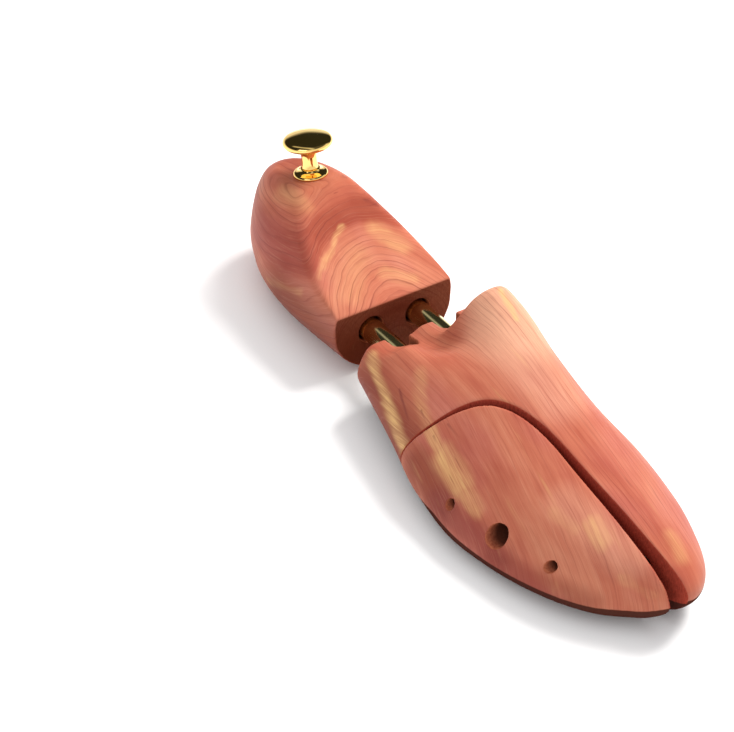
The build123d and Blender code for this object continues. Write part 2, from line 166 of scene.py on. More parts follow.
def line_distance(U, V, line):
    """Signed distance from grid points to an open line, positive on its left."""
    best = np.full(U.shape, 1e9); sign = np.ones(U.shape)
    a = line[:-1]; b = line[1:]
    for (ax, ay), (bx, by) in zip(a, b):
        dx, dy = bx - ax, by - ay
        L = dx * dx + dy * dy
        t = np.clip(((U - ax) * dx + (V - ay) * dy) / L, 0, 1)
        ex, ey = U - ax - t * dx, V - ay - t * dy
        d = ex * ex + ey * ey
        c = dx * (V - ay) - dy * (U - ax)
        near = d < best - 1e-9
        best = np.where(near, d, best)
        sign = np.where(near, np.where(c >= 0, 1.0, -1.0), sign)
    return np.sqrt(best) * sign


def smax(a, b, k):
    h = np.maximum(k - np.abs(a - b), 0) / k
    return np.maximum(a, b) + h * h * k * 0.25


def smoothstep(a, b, x):
    t = np.clip((x - a) / (b - a), 0, 1)
    return t * t * (3 - 2 * t)


Q0 = TOE[0][0]
TQ = np.sqrt(np.array([r[0] for r in TOE], float) - Q0)
TOE_F = [curve(TQ, [r[i] for r in TOE]) for i in range(1, 14)]
SADDLE_F = curve([r[0] for r in SADDLE], [r[1] for r in SADDLE])


def toe_section(y, n=120):
    xl, xm, zb, zt, xt, zl, zm, al, bl, am, bm, ab, bb = [float(f(math.sqrt(max(y - Q0, 0)))) for f in TOE_F]
    xb = (xl + xm) / 2
    t = min(1.0, max(0.0, (y + 105) / 30))
    lean = SIDE_LEAN * (1 - t * t * (3 - 2 * t))
    s = np.vstack([
        bezier((xm, zm), (xm, zm + am * (zt - zm)), (xt + bm * (xm - xt), zt), (xt, zt), n),
        bezier((xt, zt), (xt - bl * (xt - xl), zt), (xl + lean * al * (zt - zl), zl + al * (zt - zl)), (xl, zl), n),
        bezier((xl, zl), (xl, zl - ab * (zl - zb)), (xb - bb * (xb - xl), zb), (xb, zb), n),
        bezier((xb, zb), (xb + bb * (xm - xb), zb), (xm, zm - ab * (zm - zb)), (xm, zm), n)])
    up = np.clip((s[:, 1] - zl) / max(zt - zl, 1e-6), 0, 1)
    dip = float(SADDLE_F(y)) * np.exp(-((s[:, 0] - SADDLE_X[0]) / SADDLE_X[1]) ** 2) * np.minimum(1, 1.6 * up)
    s[:, 1] -= np.where(s[:, 1] > zl, dip, 0)
    return s, (xl + xm) / 2, (zb + min(zl, zm)) / 2


HZ = [r[0] for r in HEEL]
HEEL_F = [curve(HZ, [r[i] for r in HEEL]) for i in range(1, 5)]


def heel_section(z, n=80):
    wl, wm, yb, yc = [float(f(z)) for f in HEEL_F]
    xb = (wl + wm) / 2
    return np.vstack([
        bezier((wm - 1.5, -6), (wm - .5, 10), (wm, yc - 14), (wm, yc), n),
        bezier((wm, yc), (wm, yc + .6 * (yb - yc)), (xb + .6 * (wm - xb), yb), (xb, yb), n),
        bezier((xb, yb), (xb + .6 * (wl - xb), yb), (wl, yc + .6 * (yb - yc)), (wl, yc), n),
        bezier((wl, yc), (wl, yc - 14), (wl + 1.3, 10), (wl + 2.2, -6), n),
        np.linspace((wl + 2.2, -6), (wm - 1.5, -6), n, endpoint=False)])


def radial_field(U, V, pts, cu, cv):
    """Distance-like field of a star-shaped outline about (cu, cv), negative inside."""
    a = np.arctan2(pts[:, 1] - cv, pts[:, 0] - cu)
    r = np.hypot(pts[:, 0] - cu, pts[:, 1] - cv)
    o = np.argsort(a); a, r = a[o], r[o]
    aa = np.r_[a - 2 * np.pi, a, a + 2 * np.pi]; rr = np.r_[r, r, r]
    g = np.linspace(-np.pi, np.pi, 1441); R = np.interp(g, aa, rr)
    dR = np.gradient(R, g)
    cosg = R / np.sqrt(R * R + dR * dR)
    th = np.arctan2(V - cv, U - cu)
    return (np.hypot(U - cu, V - cv) - np.interp(th, g, R)) * np.interp(th, g, cosg)


def grid(lo, hi, h):
    ax = [np.arange(a, b + h, h) for a, b in zip(lo, hi)]
    return ax, np.meshgrid(*ax, indexing="ij", sparse=True)


def surface_nets(f, ax):
    """Even quad mesh on the zero level of f, vertices at the mean edge crossing of each cell."""
    inside = f < 0
    nx, ny, nz = f.shape
    c = np.zeros((nx - 1, ny - 1, nz - 1), np.int8)
    for i in (0, 1):
        for j in (0, 1):
            for k in (0, 1):
                c += inside[i:nx - 1 + i, j:ny - 1 + j, k:nz - 1 + k]
    cells = np.argwhere((c > 0) & (c < 8))
    index = np.full(c.shape, -1, np.int64)
    index[tuple(cells.T)] = np.arange(len(cells))
    acc = np.zeros((len(cells), 3)); cnt = np.zeros(len(cells))
    corner = lambda o: f[cells[:, 0] + o[0], cells[:, 1] + o[1], cells[:, 2] + o[2]]
    for axis in range(3):
        for u in (0, 1):
            for v in (0, 1):
                o0 = [0, 0, 0]; o0[(axis + 1) % 3] = u; o0[(axis + 2) % 3] = v
                o1 = list(o0); o1[axis] = 1
                a, b = corner(o0), corner(o1)
                m = (a < 0) != (b < 0)
                t = np.where(m, a / np.where(m, a - b, 1), 0)
                p = np.tile(np.array(o0, float), (len(cells), 1)); p[:, axis] = t
                acc[m] += p[m]; cnt[m] += 1
    pos = cells + acc / cnt[:, None]
    h = np.array([a[1] - a[0] for a in ax]); org = np.array([a[0] for a in ax])
    verts = org + pos * h
    quads = []
    for axis in range(3):
        b1, b2 = (axis + 1) % 3, (axis + 2) % 3
        sl0 = [slice(1, n - 1) for n in f.shape]; sl1 = list(sl0)
        sl0[axis] = slice(0, f.shape[axis] - 1); sl1[axis] = slice(1, f.shape[axis])
        e = np.argwhere(inside[tuple(sl0)] != inside[tuple(sl1)])
        if not len(e):
            continue
        off = np.ones(3, int); off[axis] = 0
        e = e + off
        first = inside[tuple(e.T)]
        q = []
        for du, dv in ((-1, -1), (0, -1), (0, 0), (-1, 0)):
            ce = e.copy(); ce[:, b1] += du; ce[:, b2] += dv
            q.append(index[tuple(ce.T)])
        q = np.stack(q, 1)
        q[~first] = q[~first][:, ::-1]
        quads.append(q)
    return verts, np.vstack(quads)


def sample(f, ax, pts):
    h = np.array([a[1] - a[0] for a in ax]); org = np.array([a[0] for a in ax])
    g = (pts - org) / h
    i = np.clip(np.floor(g).astype(int), 0, np.array(f.shape) - 2); t = g - i
    out = np.zeros(len(pts))
    for a in (0, 1):
        for b in (0, 1):
            for c in (0, 1):
                w = (t[:, 0] if a else 1 - t[:, 0]) * (t[:, 1] if b else 1 - t[:, 1]) * (t[:, 2] if c else 1 - t[:, 2])
                out += w * f[i[:, 0] + a, i[:, 1] + b, i[:, 2] + c]
    return out


def relax(verts, quads, rounds, f, ax):
    """A little smoothing along the surface, then back onto the zero level."""
    n = len(verts)
    e = np.vstack([quads[:, [0, 1]], quads[:, [1, 2]], quads[:, [2, 3]], quads[:, [3, 0]]])
    h = ax[0][1] - ax[0][0]
    for _ in range(rounds):
        s = np.zeros_like(verts); c = np.zeros(n)
        for k in range(3):
            s[:, k] = np.bincount(e[:, 0], verts[e[:, 1], k], n) + np.bincount(e[:, 1], verts[e[:, 0], k], n)
        c = np.bincount(e[:, 0], minlength=n) + np.bincount(e[:, 1], minlength=n)
        verts = verts + 0.5 * (s / c[:, None] - verts)
        d = sample(f, ax, verts)
        g = np.stack([sample(f, ax, verts + o) - sample(f, ax, verts - o) for o in np.eye(3) * h * 0.5], 1) / h
        L = np.maximum((g * g).sum(1), 0.05)
        step = np.clip(d / L, -0.3, 0.3)
        verts = verts - 0.8 * step[:, None] * g
    return verts


def mesh_object(name, verts_t, faces, attrs=None, smooth=True):
    me = bpy.data.meshes.new(name)
    v = to_row(verts_t)
    me.vertices.add(len(v)); me.vertices.foreach_set("co", v.astype(np.float32).ravel())
    faces = np.asarray(faces)
    k = faces.shape[1]
    me.loops.add(faces.size); me.loops.foreach_set("vertex_index", faces.astype(np.int32).ravel())
    me.polygons.add(len(faces))
    me.polygons.foreach_set("loop_start", np.arange(0, faces.size, k, dtype=np.int32))
    me.update(calc_edges=True)
    me.polygons.foreach_set("use_smooth", np.full(len(faces), smooth))
    for n, a in (attrs or {}).items():
        at = me.attributes.new(n, "FLOAT", "POINT")
        at.data.foreach_set("value", np.asarray(a, np.float32))
    me.validate()
    me.update()
    ob = bpy.data.objects.new(name, me)
    bpy.context.scene.collection.objects.link(ob)
    return ob


# ------------------------------------------------------------------ the wooden blocks
STEP = 0.6


def floor_height(Y):
    return FLOOR_H + math.tan(PITCH) * (Y - FLOOR_Y)


def toe_blocks():
    ax, (X, Y, Z) = grid((-54, -207, -37), (43, -17, 50), STEP)
    base = np.empty((len(ax[0]), len(ax[1]), len(ax[2])), np.float32)
    U, V = np.meshgrid(ax[0], ax[2], indexing="ij")
    for j, y in enumerate(ax[1]):
        if y <= Q0 + 0.02:
            base[:, j, :] = np.sqrt((U - 7) ** 2 + (V + 19) ** 2 + (y - Q0) ** 2)
            continue
        s, cu, cv = toe_section(y)
        base[:, j, :] = radial_field(U, V, s, cu, cv)
    # rear cut, rear face and floor
    YY, ZZ = np.meshgrid(ax[1], ax[2], indexing="ij")
    cut = line_distance(YY, ZZ, through([(-74, 56)] + REAR_CUT + [(-6, 7.5)], 0.8))   # left of the line is above it
    f = smax(base, cut[None], 2.4 + 1.8 * smoothstep(14.0, 30.0, Z) + 0 * X + 0 * Y)
    f = smax(f, Y - REAR_FACE + 0 * X + 0 * Z, 1.2)
    f = smax(f, (floor_height(Y) - Z) * CP + 0 * X, 0.8)
    trimmed = f.copy()
    # the split: lips sanded a little, less where it closes at the lateral side
    UU, VV = np.meshgrid(ax[0], ax[1], indexing="ij")
    line = through(SPLIT, 0.8)
    d_main = line_distance(UU, VV, line)                # positive on the side block's side
    tan = np.gradient(line, axis=0); tan /= np.hypot(tan[:, 0], tan[:, 1])[:, None]
    off = line + np.c_[-tan[:, 1], tan[:, 0]] * KERF
    a = -math.radians(OPEN_DEG); c, s = math.cos(a), math.sin(a)
    r = off - np.array(PIVOT)
    side_line = np.c_[r[:, 0] * c - r[:, 1] * s, r[:, 0] * s + r[:, 1] * c] + np.array(PIVOT)
    d_side = -line_distance(UU, VV, side_line)
    lip = (0.08 + 0.85 * smoothstep(6, 36, np.hypot(UU + 47.0, VV + 69.0)))[:, :, None]
    main = smax(f, d_main[:, :, None] + 0 * Z, lip)
    side = smax(f, d_side[:, :, None] + 0 * Z, lip)
    holes_main = np.full(base.shape, 1e3, np.float32)
    ZT = Z - TUBE_Z
    for sx in (-1, 1):
        x = sx * TUBE_X
        bore = np.maximum(np.hypot(X - x, ZT + 0 * Y) - TUBE_OD / 2, -78.0 - Y)
        slot = np.maximum(np.hypot(X - x, ZT + 0 * Y) - SLOT_W / 2, SLOT_CENTRE - Y)
        u = np.where(Y < SLOT_CENTRE, np.hypot(X - x, Y - SLOT_CENTRE), np.abs(X - x) + 0 * Y) - SLOT_W / 2
        u = np.maximum(u + 0 * Z, -ZT)
        holes_main = np.minimum(holes_main, np.minimum(bore, np.minimum(slot, u)))
    spring = np.hypot(Y + 179.0, Z + 17.0) - 4.5
    holes_main = np.minimum(holes_main, np.maximum(spring + 0 * X, X - 14.0))
    plate = np.maximum(np.maximum(np.abs(X + 32.0) - 6.5, np.abs(Y + 85.0) - 22.0), np.abs(Z - HINGE_Z) - HINGE_T / 2 - .1)
    main = smax(main, -holes_main, 0.6)
    main = np.maximum(main, -plate)
    holes_side = np.full(base.shape, 1e3, np.float32)
    for y, z, d in VENTS:
        holes_side = np.minimum(holes_side, np.hypot(Y - y, Z - z) - d / 2 + 0 * X)
    side = smax(side, -holes_side, 0.5)
    spring_side = np.maximum(spring + 0 * X, -12.0 - X)
    plate_s = np.maximum(np.maximum(np.abs(X + 32.0) - 9.0, np.abs(Y + 85.0) - 23.5), np.abs(Z - HINGE_Z) - HINGE_T / 2 - .2)
    side = np.maximum(np.maximum(side, -spring_side), -plate_s)
    out = []
    for name, field, d2, holes in (("main_block_wood", main, d_main, holes_main), ("side_block_wood", side, d_side, holes_side)):
        v, q = surface_nets(field, ax)
        v = relax(v, q, 3, field, ax)
        depth = -sample(trimmed, ax, v)
        rear = -sample(base, ax, v)
        spl = np.abs(sample(np.repeat(d2[:, :, None], 2, 2), [ax[0], ax[1], np.array([-100.0, 100.0])], v))
        hol = np.abs(sample(holes, ax, v))
        q_of = np.sqrt(np.clip(v[:, 1] - Q0, 0, None))
        centre = (TOE_F[0](q_of) + TOE_F[1](q_of)) / 2
        # height below the lateral crease, which drives the painted shade on the sole edge
        sole_shade = np.where(v[:, 0] < centre, TOE_F[5](q_of), TOE_F[6](q_of)) - v[:, 2]
        sole_shade = sole_shade - 4.0 * smoothstep(-104, -84, v[:, 1]) - 2.0 * smoothstep(-6, 6, v[:, 0] - centre)
        out.append(mesh_object(name, v, q, {"sole_shade": np.clip(sole_shade, -4, 4), "depth": np.clip(depth, -3, 6), "spl": np.clip(spl, 0, 6),
                                            "hol": np.clip(hol, 0, 6), "rear": np.clip(rear, -3, 6)}))
    return out


def heel_block():
    ax, (X, Y, Z) = grid((-37, -3, -24), (36, 106, 43), STEP)
    base = np.empty((len(ax[0]), len(ax[1]), len(ax[2])), np.float32)
    U, V = np.meshgrid(ax[0], ax[1], indexing="ij")
    for k, z in enumerate(ax[2]):
        base[:, :, k] = radial_field(U, V, heel_section(max(z, HEEL[0][0])), 0.0, 40.0)
    YY, ZZ = np.meshgrid(ax[1], ax[2], indexing="ij")
    top = line_distance(YY, ZZ, through([(-12, 6.2)] + RAMP + [(y, pad_height(y)) for y in (70, 80, 100, 130)], 0.8))
    soft = (1.0 + 3.2 * smoothstep(0, 26, Y)) + 0 * X + 0 * Z
    f = smax(base, top[None] + 0 * X, soft)
    f = smax(f, -19.0 - Z + 0 * X + 0 * Y, 1.5)
    f = smax(f, (floor_height(Y) - Z) * CP + 0 * X, 1.0)
    before = f.copy()
    f = smax(f, -Y + 0 * X + 0 * Z, 0.8)
    solid = f.copy()
    holes = np.full(base.shape, 1e3, np.float32)
    for sx in (-1, 1):
        r = np.hypot(X - sx * TUBE_X, Z - TUBE_Z + 0 * Y)
        holes = np.minimum(holes, np.maximum(r - HEEL_BORE_D / 2, Y - HEEL_BORE_DEPTH))
    f = smax(f, -holes, 0.6)
    v, q = surface_nets(f, ax)
    v = relax(v, q, 2, f, ax)
    hol = np.abs(sample(holes, ax, v))
    depth = -sample(solid, ax, v)
    return mesh_object("heel_block_wood", v, q, {"sole_shade": np.full(len(v), -4.0), "depth": np.clip(depth, -3, 6), "spl": np.full(len(v), 6.0),
                                                 "hol": np.clip(hol, 0, 6), "rear": np.clip(-sample(before, ax, v), -3, 6)})


main_wood, side_wood = toe_blocks()
heel_wood = heel_block()

# ------------------------------------------------------------------ turned brass


def lathe(name, profile, origin, axis, segments=160, closed=True):
    """Turned piece. profile: (radius, height) in mm; axis 'z' or 'y' of the tube frame."""
    a = np.linspace(0, 2 * np.pi, segments, endpoint=False)
    prof = np.array(profile, float)
    rings = [(r, h) for r, h in prof]
    verts, faces, idx = [], [], []
    for r, h in rings:
        if r < 1e-6:
            idx.append([len(verts)] * segments); verts.append((0, 0, h))
        else:
            idx.append(list(range(len(verts), len(verts) + segments)))
            verts += [(r * math.cos(t), r * math.sin(t), h) for t in a]
    pairs = list(zip(idx, idx[1:])) + ([(idx[-1], idx[0])] if closed and rings[0][0] > 1e-6 else [])
    tri, quad = [], []
    for A, B in pairs:
        for j in range(segments):
            k = (j + 1) % segments
            loop = [A[j], A[k], B[k], B[j]]
            u = []
            for w in loop:
                if w not in u:
                    u.append(w)
            if len(u) == 4:
                quad.append(u)
            elif len(u) == 3:
                tri.append(u)
    v = np.array(verts)
    if axis == "y":
        v = np.c_[v[:, 0], v[:, 2], -v[:, 1]]
    if axis == "pad":
        c, sn = math.cos(PAD_TILT), math.sin(PAD_TILT)
        v = np.c_[v[:, 0], v[:, 1] * c + v[:, 2] * sn, -v[:, 1] * sn + v[:, 2] * c]
    v = v + np.array(origin)
    me = bpy.data.meshes.new(name)
    me.from_pydata(to_row(v).tolist(), [], quad + tri)
    me.update()
    for p in me.polygons:
        p.use_smooth = True
    ob = bpy.data.objects.new(name, me)
    bpy.context.scene.collection.objects.link(ob)
    return ob


def rounded(points, step=0.25):
    """Profile through (r, h) points, each given with a corner radius."""
    out = []
    n = len(points)
    for i, (r, h, c) in enumerate(points):
        p = np.array([r, h], float)
        if c <= 0 or i in (0, n - 1):
            out.append(tuple(p)); continue
        a = np.array(points[i - 1][:2], float); b = np.array(points[i + 1][:2], float)
        u = (a - p) / np.linalg.norm(a - p); w = (b - p) / np.linalg.norm(b - p)
        t = min(c, 0.48 * np.linalg.norm(a - p), 0.48 * np.linalg.norm(b - p))
        for s in np.linspace(0, 1, 9):
            q = (1 - s) ** 2 * (p + u * t) + 2 * (1 - s) * s * p + s * s * (p + w * t)
            out.append(tuple(q))
    return out


kx, ky = KNOB_AT
knob_pts = through([(3.95, 3.8), (3.7, 5.2), (3.58, 7.0), (3.62, 9.2), (3.9, 11.2), (4.6, 12.6), (6.2, 13.55), (8.4, 14.25),
                    (10.2, 14.85), (11.25, 15.6), (11.7, 16.5), (11.6, 17.5), (11.0, 18.35), (9.6, 19.0), (6.8, 19.6),
                    (3.4, 19.93), (0.0, 20.0)], 0.3)
knob_pts = [(max(r, 0.0), h) for r, h in knob_pts]
knob_pts[-1] = (0.0, knob_pts[-1][1])
knob = lathe("knob_brass", [(0.0, 3.8)] + list(knob_pts), (kx, ky, PAD_Z), "pad")
base_pts = rounded([(2.3, 0.02, 0), (8.05, 0.02, 0.3), (8.2, 0.85, 0.6), (7.7, 1.65, 0.7), (6.3, 1.95, 0.8), (5.1, 2.7, 0.9), (4.5, 3.7, 0.3), (2.3, 3.85, 0)])
knob_base = lathe("knob_base_brass", base_pts, (kx, ky, PAD_Z), "pad")

tubes = {}
for s, nm in ((-1, "left"), (1, "right")):
    R, r = TUBE_OD / 2, 4.6
    prof = [(r, 0.0)] + rounded([(r, 0, 0), (R, 0, .3), (R, 116.0, .5), (r, 116.0, .3), (r, 115.0, 0)])[1:]
    tubes[nm] = lathe("outer_tube_brass_" + nm, prof, (s * TUBE_X, -78.0, TUBE_Z), "y", 96)

# ------------------------------------------------------------------ materials


class Nodes:
    def __init__(self, name):
        self.mat = bpy.data.materials.new(name)
        self.mat.use_nodes = True
        self.t = self.mat.node_tree
        self.t.nodes.clear()
        self.out = self.t.nodes.new("ShaderNodeOutputMaterial")
        self.bsdf = self.t.nodes.new("ShaderNodeBsdfPrincipled")
        self.t.links.new(self.bsdf.outputs[0], self.out.inputs[0])

    def link(self, a, b):
        self.t.links.new(a, b)

    def put(self, socket, v):
        if isinstance(v, bpy.types.NodeSocket):
            self.link(v, socket)
        else:
            socket.default_value = v

    def math(self, op, a, b=None, c=None, clamp=False):
        n = self.t.nodes.new("ShaderNodeMath"); n.operation = op; n.use_clamp = clamp
        for i, v in enumerate((a, b, c)):
            if v is not None:
                self.put(n.inputs[i], v)
        return n.outputs[0]

    def vec(self, op, a, b=None, scale=None):
        n = self.t.nodes.new("ShaderNodeVectorMath"); n.operation = op
        self.put(n.inputs[0], a)
        if b is not None:
            self.put(n.inputs[1], b)
        if scale is not None:
            self.put(n.inputs["Scale"], scale)
        return n.outputs["Value"] if op in ("LENGTH", "DOT_PRODUCT", "DISTANCE") else n.outputs[0]

    def coords(self):
        n = self.t.nodes.new("ShaderNodeTexCoord")
        return n.outputs["Object"], n.outputs["Normal"]

    def mapping(self, v, loc=(0, 0, 0), rot=(0, 0, 0), scale=(1, 1, 1), kind="POINT"):
        n = self.t.nodes.new("ShaderNodeMapping"); n.vector_type = kind
        self.link(v, n.inputs["Vector"])
        n.inputs["Location"].default_value = loc
        n.inputs["Rotation"].default_value = rot
        n.inputs["Scale"].default_value = scale
        return n.outputs[0]

    def noise(self, v, scale, detail=2.0, rough=0.5, lac=2.0, dist=0.0, color=False):
        n = self.t.nodes.new("ShaderNodeTexNoise")
        self.link(v, n.inputs["Vector"])
        n.inputs["Scale"].default_value = scale
        n.inputs["Detail"].default_value = detail
        n.inputs["Roughness"].default_value = rough
        n.inputs["Lacunarity"].default_value = lac
        n.inputs["Distortion"].default_value = dist
        return n.outputs["Color"] if color else n.outputs["Fac"]

    def ramp(self, fac, stops, mode="LINEAR"):
        n = self.t.nodes.new("ShaderNodeValToRGB")
        n.color_ramp.interpolation = mode
        self.link(fac, n.inputs[0])
        el = n.color_ramp.elements
        while len(el) > 2:
            el.remove(el[-1])
        for i, (p, c) in enumerate(stops):
            e = el[i] if i < 2 else el.new(p)
            e.position = p
            e.color = (c, c, c, 1) if isinstance(c, (int, float)) else (*c, 1)
        return n.outputs[0]

    def mix(self, fac, a, b, mode="MIX"):
        n = self.t.nodes.new("ShaderNodeMix"); n.data_type = "RGBA"; n.blend_type = mode; n.clamp_factor = True
        self.put(n.inputs[0], fac)
        for s, v in ((n.inputs[6], a), (n.inputs[7], b)):
            self.put(s, (*v, 1) if isinstance(v, tuple) and len(v) == 3 else v)
        return n.outputs[2]

    def sep(self, v):
        n = self.t.nodes.new("ShaderNodeSeparateXYZ"); self.link(v, n.inputs[0]); return n.outputs

    def comb(self, x, y, z):
        n = self.t.nodes.new("ShaderNodeCombineXYZ")
        for s, v in zip(n.inputs, (x, y, z)):
            self.put(s, v)
        return n.outputs[0]

    def attr(self, name):
        n = self.t.nodes.new("ShaderNodeAttribute"); n.attribute_name = name; return n.outputs["Fac"]

    def bump(self, height, strength, distance, normal=None):
        n = self.t.nodes.new("ShaderNodeBump")
        n.inputs["Strength"].default_value = strength
        n.inputs["Distance"].default_value = distance
        self.link(height, n.inputs["Height"])
        if normal is not None:
            self.link(normal, n.inputs["Normal"])
        return n.outputs[0]

    def range(self, v, a, b, c=0.0, d=1.0, smooth=False):
        n = self.t.nodes.new("ShaderNodeMapRange")
        n.interpolation_type = "SMOOTHSTEP" if smooth else "LINEAR"
        self.put(n.inputs[0], v)
        for i, x in enumerate((a, b, c, d)):
            n.inputs[i + 1].default_value = x
        return n.outputs[0]


def cedar(name, centre, along, seed, ring_mm, light, dark, shade_by_ring, warp=1.0, lines_gain=1.0, painted_light_and_shade=()):
    """Aromatic cedar as a solid texture. Growth rings are coaxial about the line through centre along the
    direction along (tube frame, mm); light and dark are streaks (a, b, radius, amount) lying in the wood."""
    m = Nodes(name)
    co, _ = m.coords()
    p = m.mapping(co, loc=(-SHIFT[0] / 1000, -SHIFT[1] / 1000, -SHIFT[2] / 1000))
    p = m.mapping(p, rot=(PITCH, 0, 0), scale=(1000, 1000, 1000))
    slow = m.vec("SUBTRACT", m.noise(m.mapping(p, loc=(seed * 37.0, seed * 11.0, seed * 5.0), scale=(1, 0.4, 1)), 0.022, 2.0, 0.5, color=True), (0.5, 0.5, 0.5))
    mid = m.vec("SUBTRACT", m.noise(m.mapping(p, loc=(seed * 13.0, 7.0, seed * 3.0), scale=(1, 0.3, 1)), 0.11, 2.0, 0.55, color=True), (0.5, 0.5, 0.5))
    w = m.vec("ADD", p, m.vec("SCALE", slow, scale=9.0 * warp))
    w = m.vec("ADD", w, m.vec("SCALE", mid, scale=2.6 * warp))
    d = np.array(along, float); d /= np.linalg.norm(d)
    e1 = np.cross(d, [0, 0, 1.0]); e1 /= np.linalg.norm(e1)
    e2 = np.cross(d, e1)
    q = m.vec("SUBTRACT", w, tuple(centre))
    u = m.vec("DOT_PRODUCT", q, tuple(e1)); v = m.vec("DOT_PRODUCT", q, tuple(e2))
    r = m.math("SQRT", m.math("ADD", m.math("MULTIPLY", u, u), m.math("MULTIPLY", v, v)))
    px, py, pz = m.sep(p)
    # everything below is laid out by ring radius, and changes slowly along the grain
    def laid(freq, along_freq, off, detail=3.0, rough=0.6, cross=None):
        cf = along_freq if cross is None else cross
        vec = m.comb(m.math("MULTIPLY", r, freq), m.math("MULTIPLY", py, along_freq), m.math("ADD", m.math("MULTIPLY", m.math("ADD", px, pz), cf), off))
        return m.noise(vec, 1.0, detail, rough)
    wander = laid(0.10, 0.012, seed * 1.7, 2.0, 0.5)
    rr = m.math("DIVIDE", m.math("ADD", r, m.math("MULTIPLY", m.math("SUBTRACT", wander, 0.5), 9.0)), ring_mm)
    ph = m.math("FRACT", rr)
    late = m.ramp(ph, [(0.0, 0.70), (0.04, 0.05), (0.55, 0.02), (0.84, 0.22), (0.95, 0.92), (1.0, 1.0)], "EASE")
    ring_id = m.math("FLOOR", rr)
    amp = m.range(m.noise(m.comb(m.math("MULTIPLY", ring_id, 0.731), seed * 2.1, m.math("MULTIPLY", py, 0.006)), 1.0, 0.0), 0.32, 0.66, 0.12, 1.0)
    patch = m.range(m.noise(m.mapping(p, loc=(seed, 40.0, 3.0), scale=(1, 0.35, 1)), 0.05, 2.0, 0.5), 0.33, 0.62, 0.35, 1.0, True)
    lines = m.math("MULTIPLY", m.math("MULTIPLY", late, amp), patch)
    broad = laid(0.085, 0.010, seed * 4.0, 3.0, 0.55)
    band = laid(0.42, 0.016, seed * 5.0 + 3, 3.0, 0.6)
    hair = laid(2.4, 0.05, seed * 7.0 + 1, 3.0, 0.65, cross=0.03)
    hair2 = laid(6.0, 0.12, seed * 9.0 + 2, 2.0, 0.6, cross=0.08)
    blot = m.noise(m.mapping(p, loc=(2.0, seed * 9.0, 5.0), scale=(1, 0.4, 1)), 0.045, 3.0, 0.6)
    tone = m.math("ADD", m.math("ADD", m.math("MULTIPLY", broad, 0.42), m.math("MULTIPLY", band, 0.22)), m.math("MULTIPLY", blot, 0.36))
    if shade_by_ring:
        lo, hi = shade_by_ring[0][0], shade_by_ring[-1][0]
        g = m.ramp(m.range(r, lo, hi), [((a - lo) / (hi - lo), b) for a, b in shade_by_ring], "EASE")
        tone = m.math("ADD", tone, m.math("SUBTRACT", g, 0.5))
    col = m.ramp(tone, [(0.30, WOOD[0]), (0.42, WOOD[1]), (0.50, WOOD[2]), (0.60, WOOD[3]), (0.74, WOOD[4])])
    rosy = m.noise(m.mapping(p, loc=(seed * 3.0, 5.0, seed * 8.0), scale=(1, 0.45, 1)), 0.034, 2.0, 0.5)
    col = m.mix(m.range(rosy, 0.42, 0.66, 0.0, 0.55, True), col, m.mix(1.0, col, (0.90, 0.78, 1.12), "MULTIPLY"))
    # painted light and shade: pale zones stand in for highlights on the up-facing ridges, deep and plum zones for shade
    # on the lateral low sides, the heel pad and near the rear cut
    for a, b, rad, amount, tint in painted_light_and_shade:
        a, b = np.array(a, float), np.array(b, float)
        ab = b - a
        rel = m.vec("SUBTRACT", w, tuple(a))
        t = m.math("MULTIPLY", m.vec("DOT_PRODUCT", rel, tuple(ab)), 1.0 / float(ab @ ab), clamp=True)
        n = m.t.nodes.new("ShaderNodeVectorMath"); n.operation = "SCALE"
        n.inputs[0].default_value = tuple(ab); m.link(t, n.inputs["Scale"])
        far = m.vec("LENGTH", m.vec("SUBTRACT", rel, n.outputs[0]))
        col = m.mix(m.math("MULTIPLY", m.range(far, rad * 0.35, rad * 1.6, amount, 0.0, True), m.range(band, 0.25, 0.75, 0.7, 1.0)), col, tint)
    col = m.mix(m.range(hair, 0.52, 0.74, 0.0, 0.34), col, WOOD_DARK)
    col = m.mix(m.range(hair, 0.26, 0.46, 0.22, 0.0), col, WOOD_PALE)
    col = m.mix(m.range(hair2, 0.35, 0.7, 0.0, 0.20), col, WOOD_DARK)
    col = m.mix(m.math("MULTIPLY", lines, 0.62 * lines_gain), col, LINE)

    def streaks(spots, lumpy):
        total = None
        pw = m.vec("ADD", p, m.vec("SCALE", mid, scale=lumpy))
        for a, b, rad, amount in spots:
            a, b = np.array(a, float), np.array(b, float)
            ab = b - a
            rel = m.vec("SUBTRACT", pw, tuple(a))
            t = m.math("MULTIPLY", m.vec("DOT_PRODUCT", rel, tuple(ab)), 1.0 / float(ab @ ab), clamp=True)
            n = m.t.nodes.new("ShaderNodeVectorMath"); n.operation = "SCALE"
            n.inputs[0].default_value = tuple(ab); m.link(t, n.inputs["Scale"])
            dist = m.vec("LENGTH", m.vec("SUBTRACT", rel, n.outputs[0]))
            k = m.range(dist, rad * 0.1, rad * 1.55, amount, 0.0, True)
            total = k if total is None else m.math("MAXIMUM", total, k)
        return total
    comb = m.range(m.math("ADD", m.math("MULTIPLY", hair, 0.5), m.math("MULTIPLY", band, 0.5)), 0.36, 0.58, 1.0, 0.35)
